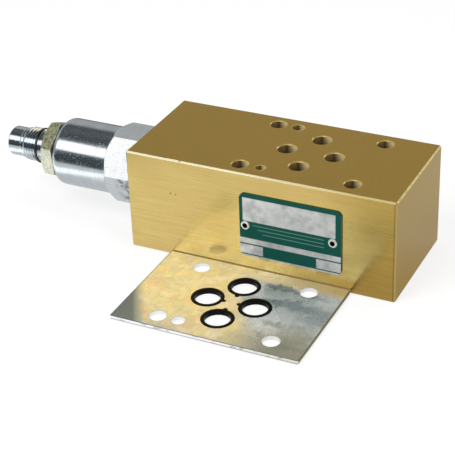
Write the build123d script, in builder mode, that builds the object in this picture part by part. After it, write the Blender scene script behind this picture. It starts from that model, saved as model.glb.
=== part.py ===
from build123d import *
import os
from math import cos, pi, radians, tan

# Relief valve module: a drilled block, a screw-in relief cartridge and a loose seal plate.
# Millimetres. The origin is the middle of the mounting holes on the bottom face, +X runs along
# the block away from the cartridge, +Y to the back, +Z up.

# Block
block_length = 99.5
block_width = 44.5
block_height = 38.0
block_chamfer = 0.5
block_centre_x = -11.45

# Standard mounting pattern: four bolts, four ports and a locating pin
bolt_columns = 40.5
left_bolt_pair = 32.5
right_bolt_pair = 31.0
bolt_hole_radius = 2.75
bolt_hole_chamfer = 0.25
port_radius = 3.2
port_chamfer = 0.3
port_a_x = 7.55
port_b_x = -9.95
port_pt_x = -1.25
port_pt_y = 10.4
pin_x = -12.75
pin_y = 16.25
front_pin_radius = 1.6
back_pin_radius = 2.05
pin_hole_depth = 4.0

# Galleries that join the cavity to ports P and T, with their plugs
gallery_radius = 2.1
feed_start_y = -3.2
return_y = 10.0
return_below_top = 4.8
cross_above_axis = 9.5
cross_reach_y = 3.0
plug_radius = 3.0
plug_length = 5.0
plug_recess = 0.6
plug_hole_depth = 7.0
plug_socket = 3.0
plug_socket_depth = 2.5

# Cartridge, from the block's left face inwards
axis_below_top = 17.5
neck_length = 2.6
neck_radius = 9.6
thread_length = 12.0
thread_radius = 11.11
thread_chamfer = 0.6
pilot_length = 2.0
pilot_radius = 10.2
waist_length = 6.0
waist_radius = 7.0
nose_length = 9.4
nose_radius = 7.88
nose_chamfer = 0.5
seal_groove_start = 2.4
seal_groove_radius = 5.9
face_seal_section = 2.4
nose_seal_section = 2.0
backup_width = 1.2
seal_side_gap = 0.1
cross_hole_radius = 1.6
cross_hole_count = 4

# Cavity in the block
recess_radius = 12.1
chamber_radius = 12.0
cavity_play = 0.4
nose_play = 1.0
nose_lead = 0.8
end_chamber_radius = 6.5
end_chamber_length = 3.0
drill_point_angle = 118.0

# Hexagon and spring housing, from the block's left face outwards
hex_across_flats = 25.4
hex_length = 15.85
hex_turn = 56.4
hex_end_radius = 12.5
housing_radius = 12.5
housing_length = 22.75
housing_shoulder = 3.0
housing_spigot = 8.85
housing_spigot_radius = 10.2
housing_end_wall = 4.8
housing_seal_section = 1.3
housing_seal_room = 1.6
spring_chamber_radius = 8.0

# Seat, poppet and spring
inlet_radius = 3.4
inlet_lip = 2.0
seat_length = 6.0
seat_radius = 4.6
seat_bore_radius = 2.5
poppet_bore_radius = 5.0
poppet_bore_length = 14.0
poppet_angle = 30.0
poppet_tip_length = 2.4
poppet_head_radius = 3.6
poppet_head_length = 1.5
poppet_stem_radius = 2.2
poppet_land_length = 4.5
poppet_land_step = 1.0
poppet_pin_radius = 2.0
poppet_pin_depth = 2.0
seat_gap = 0.1
guide_clearance = 2.0
guide_thickness = 3.0
guide_radius = 7.5
guide_hub_radius = 4.2
guide_hub_length = 6.0
spring_wire = 2.6
spring_mean_radius = 5.9
spring_turns = 8

# Spring cap and adjusting screw
cap_room = 2.8
cap_thickness = 5.0
cap_hub_length = 5.0
cap_seal_section = 1.7
screw_tip_length = 1.9
screw_tip_radius = 4.5
screw_radius = 6.35
screw_reach = 14.8
screw_cone = 2.8
screw_end_radius = 5.5
screw_end_length = 5.45
screw_end_chamfer = 0.8
screw_socket = 5.0
screw_socket_depth = 7.0

# Lock nut, its sealing washer and the retaining ring
nut_across_flats = 19.05
nut_thickness = 5.0
nut_turn = 36.0
nut_face_radius = 9.3
washer_radius = 8.3
washer_thickness = 0.8
ring_clearance = 3.85
ring_width = 0.7
ring_proud = 0.35
ring_groove_depth = 0.75
ring_side_gap = 0.1

# Nameplate and its rivets
plate_sign_left = -17.85
plate_sign_length = 37.3
plate_sign_bottom = 6.5
plate_sign_height = 24.3
plate_sign_thickness = 0.5
plate_sign_corner = 2.0
rivet_left_inset = 2.15
rivet_right_inset = 3.15
rivet_z = 18.6
rivet_head_radius = 1.65
rivet_head_height = 0.45
rivet_head_edge = 0.36
rivet_shank_radius = 1.15
rivet_bore_radius = 0.85
rivet_length = 3.5
rivet_bore_depth = 2.0

# Seal plate that lies in front of the block
seal_plate_centre_x = -9.9
seal_plate_gap = 0.35
seal_plate_left = 35.2
seal_plate_right = 32.5
seal_plate_depth = 44.5
seal_plate_thickness = 1.4
seal_plate_corner = 0.6
seal_plate_edge = 0.2
seal_plate_bolt_radius = 2.95
seal_plate_pin_radius = 2.25
port_seal_radius = 5.7
port_seal_bore = 4.4
port_seal_height = 1.9
port_seal_edge = 0.3
port_seal_nib_radius = 0.8
port_seal_nib_reach = 5.9

# Clearances, and how closely an edge has to match a radius to be picked by it
running_gap = 0.05
static_gap = 0.02
radius_match = 0.01

# Places on the block
block_left = block_centre_x - block_length / 2
block_front = -block_width / 2
block_back = block_width / 2
axis_height = block_height - axis_below_top
rivet_left_x = plate_sign_left + rivet_left_inset
rivet_right_x = plate_sign_left + plate_sign_length - rivet_right_inset
valve_axis = Axis((block_left, 0, axis_height), (1, 0, 0))
turning_plane = Plane(origin=(block_left, 0, axis_height), x_dir=(1, 0, 0), z_dir=(0, -1, 0))
end_plane = Plane(origin=(block_left, 0, axis_height), x_dir=(0, 1, 0), z_dir=(1, 0, 0))
top_plane = Plane.XY.offset(block_height)
bolt_spots = [
    (-bolt_columns / 2, left_bolt_pair / 2),
    (-bolt_columns / 2, -left_bolt_pair / 2),
    (bolt_columns / 2, right_bolt_pair / 2),
    (bolt_columns / 2, -right_bolt_pair / 2),
]
port_spots = {
    "p": (port_pt_x, -port_pt_y),
    "t": (port_pt_x, port_pt_y),
    "a": (port_a_x, 0),
    "b": (port_b_x, 0),
}

# Stations along the valve axis, zero at the block's left face and positive into the block
thread_end = neck_length + thread_length
pilot_end = thread_end + pilot_length
waist_end = pilot_end + waist_length
nose_end = waist_end + nose_length
groove_start = waist_end + seal_groove_start
groove_end = groove_start + nose_seal_section + 2 * (backup_width + 2 * seal_side_gap)
seat_face = nose_end - inlet_lip - seat_length
poppet_bore_start = seat_face - poppet_bore_length
chamber_start = pilot_end + cavity_play
chamber_end = waist_end + cavity_play
nose_bore_end = nose_end + nose_play
end_chamber_end = nose_bore_end + end_chamber_length
hex_end = -hex_length
spigot_end = hex_end + housing_spigot
housing_end = hex_end - housing_length
spring_chamber_end = housing_end + housing_end_wall
cap_back = spring_chamber_end + cap_room
cap_face = cap_back + cap_thickness
guide_front = poppet_bore_start - guide_clearance
guide_face = guide_front - guide_thickness
nut_start = housing_end - washer_thickness
nut_end = nut_start - nut_thickness
ring_start = nut_end - ring_clearance
ring_end = ring_start - ring_width
screw_tip = cap_back - running_gap
screw_thread_start = screw_tip - screw_tip_length
screw_thread_end = housing_end - screw_reach
screw_plain_start = screw_thread_end - screw_cone
screw_end = screw_plain_start - screw_end_length


def outline(points):
    """The closed outline of a turned piece, from (station, radius) points."""
    with BuildSketch(turning_plane) as profile:
        with BuildLine():
            Polyline(*points, close=True)
        make_face()
    return profile.sketch


def seal_section(station, inner_radius, section):
    """The round section of an o-ring that sits on a given radius."""
    with BuildSketch(turning_plane) as profile:
        with Locations((station, inner_radius + section / 2)):
            Circle(section / 2)
    return profile.sketch


def washer_section(start, end, inner_radius, outer_radius):
    """The square section of a flat ring."""
    return outline([(start, inner_radius), (end, inner_radius), (end, outer_radius), (start, outer_radius)])


def rims(piece, radius):
    """The round edges of one radius."""
    round_edges = piece.edges().filter_by(GeomType.CIRCLE)
    return round_edges.filter_by(lambda edge: abs(edge.radius - radius) < radius_match)


# Planes of the drillings
feed_start = (block_left + nose_bore_end + end_chamber_length / 3, feed_start_y, axis_height)
feed_run = Vector(port_pt_x - feed_start[0], -port_pt_y - feed_start_y, 0)
feed_plane = Plane(origin=feed_start, z_dir=feed_run)
return_z = block_height - return_below_top
return_plane = Plane(origin=(block_left, return_y, return_z), x_dir=(0, 1, 0), z_dir=(1, 0, 0))
cross_x = block_left + (chamber_start + chamber_end) / 2
cross_z = axis_height + cross_above_axis
cross_plane = Plane(origin=(cross_x, block_back, cross_z), x_dir=(1, 0, 0), z_dir=(0, -1, 0))
front_plane = Plane(origin=(0, block_front, 0), x_dir=(1, 0, 0), z_dir=(0, -1, 0))
drill_point = end_chamber_radius / tan(radians(drill_point_angle / 2))

# The block: outside, ports and bolt holes, then the cavity and the galleries
with BuildPart() as valve_block:
    with BuildSketch():
        with Locations((block_centre_x, 0)):
            Rectangle(block_length, block_width)
    extrude(amount=block_height)
    chamfer(valve_block.edges(), block_chamfer)
    with BuildSketch(top_plane):
        with Locations(*port_spots.values()):
            Circle(port_radius)
    extrude(amount=-block_height, mode=Mode.SUBTRACT)
    with BuildSketch(top_plane):
        with Locations(*bolt_spots):
            Circle(bolt_hole_radius)
    extrude(amount=-block_height, mode=Mode.SUBTRACT)
    chamfer(rims(valve_block, port_radius), port_chamfer)
    chamfer(rims(valve_block, bolt_hole_radius), bolt_hole_chamfer)
    with BuildSketch(top_plane):
        with Locations((pin_x, -pin_y)):
            Circle(front_pin_radius)
        with Locations((pin_x, pin_y)):
            Circle(back_pin_radius)
    extrude(amount=-pin_hole_depth, mode=Mode.SUBTRACT)
    cavity = outline([
        (0, 0),
        (0, recess_radius),
        (neck_length, recess_radius),
        (neck_length, thread_radius + running_gap),
        (chamber_start, thread_radius + running_gap),
        (chamber_start, chamber_radius),
        (chamber_end, chamber_radius),
        (chamber_end, nose_radius + running_gap + nose_lead),
        (chamber_end + nose_lead, nose_radius + running_gap),
        (nose_bore_end, nose_radius + running_gap),
        (nose_bore_end, end_chamber_radius),
        (end_chamber_end, end_chamber_radius),
        (end_chamber_end + drill_point, 0),
    ])
    revolve(cavity, axis=valve_axis, mode=Mode.SUBTRACT)
    with BuildSketch(feed_plane):
        Circle(gallery_radius)
    extrude(amount=feed_run.length, mode=Mode.SUBTRACT)
    with BuildSketch(return_plane):
        Circle(gallery_radius)
    extrude(amount=port_pt_x - block_left, mode=Mode.SUBTRACT)
    with BuildSketch(cross_plane):
        Circle(gallery_radius)
    extrude(amount=block_back - cross_reach_y, mode=Mode.SUBTRACT)
    with BuildSketch(return_plane, cross_plane):
        Circle(plug_radius)
    extrude(amount=plug_hole_depth, mode=Mode.SUBTRACT)
    with BuildSketch(front_plane):
        with Locations((rivet_left_x, rivet_z), (rivet_right_x, rivet_z)):
            Circle(rivet_shank_radius)
    extrude(amount=-rivet_length, mode=Mode.SUBTRACT)
valve_block.part.label = "valve_block"

# The two plugs that close the galleries' open ends
plugs = {}
for name, plane in (("gallery_plug_left", return_plane), ("gallery_plug_back", cross_plane)):
    outer_plane = plane.offset(plug_recess)
    with BuildPart() as plug:
        with BuildSketch(outer_plane):
            Circle(plug_radius - static_gap)
        extrude(amount=plug_length)
        with BuildSketch(outer_plane):
            RegularPolygon(plug_socket / 2, 6, major_radius=False)
        extrude(amount=plug_socket_depth, mode=Mode.SUBTRACT)
    plug.part.label = name
    plugs[name] = plug

# Nameplate, riveted to the front
with BuildPart() as nameplate:
    with BuildSketch(front_plane):
        with Locations((plate_sign_left + plate_sign_length / 2, plate_sign_bottom + plate_sign_height / 2)):
            RectangleRounded(plate_sign_length, plate_sign_height, plate_sign_corner)
        with Locations((rivet_left_x, rivet_z), (rivet_right_x, rivet_z)):
            Circle(rivet_shank_radius + running_gap, mode=Mode.SUBTRACT)
    extrude(amount=plate_sign_thickness)
nameplate.part.label = "nameplate"

rivets = {}
for name, x in (("nameplate_rivet_left", rivet_left_x), ("nameplate_rivet_right", rivet_right_x)):
    shank_plane = Plane(origin=(x, block_front, rivet_z), x_dir=(1, 0, 0), z_dir=(0, -1, 0))
    head_plane = shank_plane.offset(plate_sign_thickness)
    with BuildPart() as rivet:
        with BuildSketch(shank_plane):
            Circle(rivet_shank_radius - static_gap)
        extrude(amount=-rivet_length + static_gap)
        extrude(rivet.faces().sort_by(Axis.Y)[0], amount=plate_sign_thickness)
        with BuildSketch(head_plane):
            Circle(rivet_head_radius)
        extrude(amount=rivet_head_height)
        fillet(rivet.faces().sort_by(Axis.Y)[0].edges(), rivet_head_edge)
        with BuildSketch(head_plane.offset(rivet_head_height)):
            Circle(rivet_bore_radius)
        extrude(amount=-rivet_bore_depth, mode=Mode.SUBTRACT)
    rivet.part.label = name
    rivets[name] = rivet

# Seal plate, lying in front of the block on its four port seals
seal_plate_centre_y = block_front - seal_plate_gap - seal_plate_depth / 2
seal_plate_lift = (port_seal_height - seal_plate_thickness) / 2
port_middle = Vector((port_a_x + port_b_x) / 2, 0)
seal_spots = {}
for name, (x, y) in port_spots.items():
    inward = (port_middle - Vector(x, y)).normalized()
    seal_spots[name] = (Vector(seal_plate_centre_x + x, seal_plate_centre_y + y), inward)
with BuildPart() as seal_plate:
    with BuildSketch(Plane.XY.offset(seal_plate_lift)):
        with Locations((seal_plate_centre_x + (seal_plate_right - seal_plate_left) / 2, seal_plate_centre_y)):
            RectangleRounded(seal_plate_left + seal_plate_right, seal_plate_depth, seal_plate_corner)
        with Locations((seal_plate_centre_x, seal_plate_centre_y)):
            with Locations(*bolt_spots):
                Circle(seal_plate_bolt_radius, mode=Mode.SUBTRACT)
            with Locations((pin_x, -pin_y)):
                Circle(seal_plate_pin_radius, mode=Mode.SUBTRACT)
        for spot, inward in seal_spots.values():
            nib = spot + inward * port_seal_nib_reach
            with Locations((spot.X, spot.Y)):
                Circle(port_seal_radius + running_gap, mode=Mode.SUBTRACT)
            with Locations((nib.X, nib.Y)):
                Circle(port_seal_nib_radius + running_gap, mode=Mode.SUBTRACT)
    extrude(amount=seal_plate_thickness)
    flat_faces = seal_plate.faces().filter_by(Axis.Z)
    fillet([edge for face in flat_faces for edge in face.outer_wire().edges()], seal_plate_edge)
    fillet(rims(seal_plate, seal_plate_bolt_radius), seal_plate_edge)
    fillet(rims(seal_plate, seal_plate_pin_radius), seal_plate_edge)
seal_plate.part.label = "seal_plate"

port_seals = {}
for name, (spot, inward) in seal_spots.items():
    nib = spot + inward * port_seal_nib_reach
    with BuildPart() as port_seal:
        with BuildSketch():
            with Locations((spot.X, spot.Y)):
                Circle(port_seal_radius)
        extrude(amount=port_seal_height)
        fillet(port_seal.edges(), port_seal_edge)
        with BuildSketch(Plane.XY.offset(seal_plate_lift)):
            with Locations((nib.X, nib.Y)):
                Circle(port_seal_nib_radius)
        extrude(amount=seal_plate_thickness)
        with BuildSketch():
            with Locations((spot.X, spot.Y)):
                Circle(port_seal_bore)
        extrude(amount=port_seal_height, mode=Mode.SUBTRACT)
        fillet(rims(port_seal, port_seal_bore), port_seal_edge)
    port_seal.part.label = "port_seal_" + name
    port_seals["port_seal_" + name] = port_seal

# Cartridge body: hexagon, thread, waist with cross holes, and nose
with BuildPart() as cartridge_body:
    with BuildSketch(end_plane.offset(hex_end)):
        RegularPolygon(hex_across_flats / 2, 6, major_radius=False, rotation=hex_turn)
    extrude(amount=hex_length)
    corner_radius = hex_across_flats / 2 / cos(pi / 6)
    end_bevel = corner_radius - hex_end_radius
    hex_envelope = outline([
        (hex_end, 0),
        (hex_end, hex_end_radius),
        (hex_end + end_bevel, corner_radius),
        (-end_bevel * tan(radians(30)), corner_radius),
        (0, hex_end_radius),
        (0, 0),
    ])
    revolve(hex_envelope, axis=valve_axis, mode=Mode.INTERSECT)
    stem_outline = outline([
        (-hex_length / 2, 0),
        (-hex_length / 2, neck_radius),
        (neck_length, neck_radius),
        (neck_length, thread_radius - thread_chamfer),
        (neck_length + thread_chamfer, thread_radius),
        (thread_end - thread_chamfer, thread_radius),
        (thread_end, thread_radius - thread_chamfer),
        (thread_end, pilot_radius),
        (pilot_end, pilot_radius),
        (pilot_end, waist_radius),
        (waist_end, waist_radius),
        (waist_end, nose_radius),
        (groove_start, nose_radius),
        (groove_start, seal_groove_radius),
        (groove_end, seal_groove_radius),
        (groove_end, nose_radius),
        (nose_end - nose_chamfer, nose_radius),
        (nose_end, nose_radius - nose_chamfer),
        (nose_end, 0),
    ])
    revolve(stem_outline, axis=valve_axis)
    body_bore = outline([
        (hex_end, 0),
        (hex_end, housing_spigot_radius + housing_seal_section + static_gap),
        (hex_end + housing_seal_room, housing_spigot_radius + housing_seal_section + static_gap),
        (hex_end + housing_seal_room, housing_spigot_radius + static_gap),
        (spigot_end, housing_spigot_radius + static_gap),
        (spigot_end, spring_chamber_radius),
        (poppet_bore_start, spring_chamber_radius),
        (poppet_bore_start, poppet_bore_radius),
        (seat_face, poppet_bore_radius),
        (seat_face, seat_radius + static_gap),
        (nose_end - inlet_lip, seat_radius + static_gap),
        (nose_end - inlet_lip, inlet_radius),
        (nose_end, inlet_radius),
        (nose_end, 0),
    ])
    revolve(body_bore, axis=valve_axis, mode=Mode.SUBTRACT)
    cross_hole_plane = Plane(origin=(block_left + (pilot_end + waist_end) / 2, 0, axis_height))
    for turn in range(cross_hole_count):
        angle = 360 / cross_hole_count * (turn + 0.5)
        with BuildSketch(cross_hole_plane.rotated((angle, 0, 0))):
            Circle(cross_hole_radius)
        extrude(amount=waist_radius + cross_hole_radius, mode=Mode.SUBTRACT)
cartridge_body.part.label = "cartridge_body"

# Cartridge seals
with BuildPart() as cartridge_face_seal:
    revolve(seal_section(neck_length / 2, neck_radius + static_gap, face_seal_section), axis=valve_axis)
cartridge_face_seal.part.label = "cartridge_face_seal"

seal_start = groove_start + backup_width + 2 * seal_side_gap
with BuildPart() as nose_seal:
    revolve(
        seal_section(seal_start + nose_seal_section / 2, seal_groove_radius + static_gap, nose_seal_section),
        axis=valve_axis,
    )
nose_seal.part.label = "nose_seal"

backups = {}
for name, start in (
    ("backup_ring_inner", seal_start + nose_seal_section + seal_side_gap),
    ("backup_ring_outer", groove_start + seal_side_gap),
):
    with BuildPart() as backup:
        revolve(
            washer_section(start, start + backup_width, seal_groove_radius + static_gap, nose_radius),
            axis=valve_axis,
        )
    backup.part.label = name
    backups[name] = backup

housing_seal_middle = hex_end + housing_seal_room / 2
with BuildPart() as housing_seal:
    ring = seal_section(
        housing_seal_middle, housing_spigot_radius + static_gap, housing_seal_section - static_gap
    )
    revolve(ring, axis=valve_axis)
housing_seal.part.label = "housing_seal"

# Valve seat, pressed into the nose
with BuildPart() as valve_seat:
    revolve(washer_section(seat_face, nose_end - inlet_lip, seat_bore_radius, seat_radius), axis=valve_axis)
valve_seat.part.label = "valve_seat"

# Poppet: cone, head, stem, guide land and the pin that carries the spring guide
cone_slope = tan(radians(poppet_angle))
cone_radius = seat_bore_radius - seat_gap
head_start = seat_face - (poppet_head_radius - cone_radius) / cone_slope
land_start = poppet_bore_start + poppet_land_step
land_end = land_start + poppet_land_length
with BuildPart() as poppet:
    poppet_outline = outline([
        (guide_front - poppet_pin_depth, 0),
        (guide_front - poppet_pin_depth, poppet_pin_radius),
        (land_start, poppet_pin_radius),
        (land_start, poppet_bore_radius - running_gap),
        (land_end, poppet_bore_radius - running_gap),
        (land_end, poppet_stem_radius),
        (head_start - poppet_head_length, poppet_stem_radius),
        (head_start - poppet_head_length, poppet_head_radius),
        (head_start, poppet_head_radius),
        (seat_face + poppet_tip_length, cone_radius - poppet_tip_length * cone_slope),
        (seat_face + poppet_tip_length, 0),
    ])
    revolve(poppet_outline, axis=valve_axis)
poppet.part.label = "poppet"

with BuildPart() as spring_guide:
    guide_outline = outline([
        (guide_face - guide_hub_length, 0),
        (guide_face - guide_hub_length, guide_hub_radius),
        (guide_face, guide_hub_radius),
        (guide_face, guide_radius),
        (guide_front, guide_radius),
        (guide_front, poppet_pin_radius + static_gap),
        (guide_front - poppet_pin_depth, poppet_pin_radius + static_gap),
        (guide_front - poppet_pin_depth, 0),
    ])
    revolve(guide_outline, axis=valve_axis)
spring_guide.part.label = "spring_guide"

# Main spring: a helix whose ends are ground flat
spring_length = guide_face - cap_face
spring_pitch = (spring_length - spring_wire) / (spring_turns - 1)
helix_start = cap_face + static_gap - spring_pitch / 4
helix_length = spring_length + spring_pitch / 2
helix_plane = Plane(origin=(block_left + helix_start, 0, axis_height), x_dir=(0, 1, 0), z_dir=(1, 0, 0))
with BuildPart() as main_spring:
    with BuildLine():
        coil = Helix(
            pitch=spring_pitch,
            height=helix_length,
            radius=spring_mean_radius,
            center=helix_plane.origin,
            direction=(1, 0, 0),
        )
    with BuildSketch(Plane(origin=coil @ 0, z_dir=coil % 0)):
        Circle(spring_wire / 2)
    sweep(is_frenet=True)
    ground_space = washer_section(
        cap_face + static_gap,
        guide_face - static_gap,
        spring_mean_radius - spring_wire,
        spring_mean_radius + spring_wire,
    )
    revolve(ground_space, axis=valve_axis, mode=Mode.INTERSECT)
main_spring.part.label = "main_spring"

# Spring cap, sealed in the housing
cap_radius = spring_chamber_radius - running_gap
cap_groove = cap_radius - cap_seal_section
cap_middle = (cap_back + cap_face) / 2
cap_half_groove = cap_seal_section / 2 + seal_side_gap
with BuildPart() as spring_cap:
    cap_outline = outline([
        (cap_back, 0),
        (cap_back, cap_radius),
        (cap_middle - cap_half_groove, cap_radius),
        (cap_middle - cap_half_groove, cap_groove),
        (cap_middle + cap_half_groove, cap_groove),
        (cap_middle + cap_half_groove, cap_radius),
        (cap_face, cap_radius),
        (cap_face, guide_hub_radius),
        (cap_face + cap_hub_length, guide_hub_radius),
        (cap_face + cap_hub_length, 0),
    ])
    revolve(cap_outline, axis=valve_axis)
spring_cap.part.label = "spring_cap"

with BuildPart() as cap_seal:
    revolve(seal_section(cap_middle, cap_groove + static_gap, cap_seal_section - static_gap), axis=valve_axis)
cap_seal.part.label = "cap_seal"

# Spring housing, screwed into the hexagon
with BuildPart() as spring_housing:
    with BuildSketch(turning_plane):
        with BuildLine():
            Polyline(
                (housing_end, screw_radius + running_gap),
                (housing_end, housing_radius - housing_shoulder),
            )
            RadiusArc(
                (housing_end, housing_radius - housing_shoulder),
                (housing_end + housing_shoulder, housing_radius),
                housing_shoulder,
            )
            Polyline(
                (housing_end + housing_shoulder, housing_radius),
                (hex_end, housing_radius),
                (hex_end, housing_spigot_radius),
                (spigot_end, housing_spigot_radius),
                (spigot_end, spring_chamber_radius),
                (spring_chamber_end, spring_chamber_radius),
                (spring_chamber_end, screw_radius + running_gap),
                (housing_end, screw_radius + running_gap),
            )
        make_face()
    revolve(axis=valve_axis)
spring_housing.part.label = "spring_housing"

# Adjusting screw, with the groove of its retaining ring and a hexagon socket in its end
ring_groove_radius = screw_radius - ring_groove_depth
with BuildPart() as adjusting_screw:
    screw_outline = outline([
        (screw_tip, 0),
        (screw_tip, screw_tip_radius),
        (screw_thread_start, screw_tip_radius),
        (screw_thread_start, screw_radius),
        (ring_start + ring_side_gap, screw_radius),
        (ring_start + ring_side_gap, ring_groove_radius),
        (ring_end - ring_side_gap, ring_groove_radius),
        (ring_end - ring_side_gap, screw_radius),
        (screw_thread_end, screw_radius),
        (screw_plain_start, screw_end_radius),
        (screw_end + screw_end_chamfer, screw_end_radius),
        (screw_end, screw_end_radius - screw_end_chamfer),
        (screw_end, 0),
    ])
    revolve(screw_outline, axis=valve_axis)
    with BuildSketch(end_plane.offset(screw_end)):
        RegularPolygon(screw_socket / 2, 6, major_radius=False)
    extrude(amount=screw_socket_depth, mode=Mode.SUBTRACT)
adjusting_screw.part.label = "adjusting_screw"

with BuildPart() as retaining_ring:
    revolve(
        washer_section(ring_end, ring_start, ring_groove_radius + static_gap, screw_radius + ring_proud),
        axis=valve_axis,
    )
retaining_ring.part.label = "retaining_ring"

with BuildPart() as seal_washer:
    revolve(
        washer_section(nut_start, housing_end, screw_radius + running_gap, washer_radius),
        axis=valve_axis,
    )
seal_washer.part.label = "seal_washer"

# Lock nut, bevelled on its outer face
with BuildPart() as lock_nut:
    with BuildSketch(end_plane.offset(nut_end)):
        RegularPolygon(nut_across_flats / 2, 6, major_radius=False, rotation=nut_turn)
    extrude(amount=nut_thickness)
    nut_corner = nut_across_flats / 2 / cos(pi / 6)
    nut_bevel = (nut_corner - nut_face_radius) * tan(radians(30))
    nut_envelope = outline([
        (nut_end, screw_radius + running_gap),
        (nut_end, nut_face_radius),
        (nut_end + nut_bevel, nut_corner),
        (nut_start, nut_corner),
        (nut_start, screw_radius + running_gap),
    ])
    revolve(nut_envelope, axis=valve_axis, mode=Mode.INTERSECT)
lock_nut.part.label = "lock_nut"

# Files, one for each piece
pieces = [
    valve_block,
    nameplate,
    seal_plate,
    cartridge_body,
    cartridge_face_seal,
    nose_seal,
    housing_seal,
    valve_seat,
    poppet,
    spring_guide,
    main_spring,
    spring_cap,
    cap_seal,
    spring_housing,
    adjusting_screw,
    retaining_ring,
    seal_washer,
    lock_nut,
]
for group in (plugs, rivets, port_seals, backups):
    pieces.extend(group.values())
os.makedirs("parts", exist_ok=True)
for piece in pieces:
    export_step(piece.part, f"parts/{piece.part.label}.step")
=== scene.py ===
# Relief valve module: a gold anodised block with a screw-in cartridge and a loose seal plate.
from math import atan2, cos, pi, radians

import bmesh
import bpy
from mathutils import Matrix, Vector


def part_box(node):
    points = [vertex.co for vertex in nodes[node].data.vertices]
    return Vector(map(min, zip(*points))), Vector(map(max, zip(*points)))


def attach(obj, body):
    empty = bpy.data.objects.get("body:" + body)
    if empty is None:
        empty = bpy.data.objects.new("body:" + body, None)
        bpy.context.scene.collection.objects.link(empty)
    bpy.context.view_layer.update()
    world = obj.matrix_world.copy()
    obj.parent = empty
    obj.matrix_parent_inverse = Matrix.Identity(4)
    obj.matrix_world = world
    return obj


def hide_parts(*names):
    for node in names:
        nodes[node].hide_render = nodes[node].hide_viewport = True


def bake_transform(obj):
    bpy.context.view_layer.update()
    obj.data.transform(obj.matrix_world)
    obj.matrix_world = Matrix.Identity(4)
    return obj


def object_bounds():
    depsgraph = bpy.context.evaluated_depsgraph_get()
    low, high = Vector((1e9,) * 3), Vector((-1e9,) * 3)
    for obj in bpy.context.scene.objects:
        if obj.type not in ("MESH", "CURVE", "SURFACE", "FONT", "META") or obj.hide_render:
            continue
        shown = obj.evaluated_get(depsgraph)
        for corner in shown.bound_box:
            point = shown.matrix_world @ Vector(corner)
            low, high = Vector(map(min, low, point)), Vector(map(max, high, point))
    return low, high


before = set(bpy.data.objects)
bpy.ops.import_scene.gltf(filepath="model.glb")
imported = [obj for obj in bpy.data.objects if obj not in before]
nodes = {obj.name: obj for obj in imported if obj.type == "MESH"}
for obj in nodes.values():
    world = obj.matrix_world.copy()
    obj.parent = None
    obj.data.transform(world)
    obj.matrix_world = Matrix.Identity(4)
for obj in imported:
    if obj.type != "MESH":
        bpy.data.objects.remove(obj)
cadLow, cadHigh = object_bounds()
scene = bpy.context.scene
scene.view_settings.view_transform = "Standard"
mm = 0.001
mergeGap = 0.001 * mm  # points closer than this become one
blockLow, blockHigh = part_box("valve_block")
plateLow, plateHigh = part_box("seal_plate")
screwLow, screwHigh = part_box("adjusting_screw")
axisPoint = Vector((0, (screwLow.y + screwHigh.y) / 2, (screwLow.z + screwHigh.z) / 2))
print("frame loaded:", len(nodes), "nodes")

# How the dictionaries below write their values:
# an edge is its place and its softness; a span is its low end, its high end and their softness;
# a noise is its scale, detail, roughness and stretch; a bump is its strength and its depth;
# a spread is the range that a noise is brought to, and then the range that it comes from.


class Wire:  # one socket, so that shader maths reads as arithmetic
    def __init__(self, finish, socket):
        self.finish = finish
        self.socket = socket

    def __add__(self, other):
        return self.finish.maths("ADD", self, other)

    def __radd__(self, other):
        return self.finish.maths("ADD", other, self)

    def __sub__(self, other):
        return self.finish.maths("SUBTRACT", self, other)

    def __rsub__(self, other):
        return self.finish.maths("SUBTRACT", other, self)

    def __mul__(self, other):
        return self.finish.maths("MULTIPLY", self, other)

    def __rmul__(self, other):
        return self.finish.maths("MULTIPLY", other, self)

    def __truediv__(self, other):
        return self.finish.maths("DIVIDE", self, other)

    def above(self, edge, softness):  # 0 below the edge, 1 above it, with a soft step between
        inputs = {"Value": self, "From Min": edge - softness / 2, "From Max": edge + softness / 2}
        return self.finish.node("ShaderNodeMapRange", {"clamp": True}, inputs)

    def below(self, edge, softness):
        return 1 - self.above(edge, softness)

    def between(self, low, high, softness):
        return self.above(low, softness) * self.below(high, softness)

    def size(self):
        return self.finish.maths("ABSOLUTE", self)

    def biggest(self, other):
        return self.finish.maths("MAXIMUM", self, other)


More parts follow.
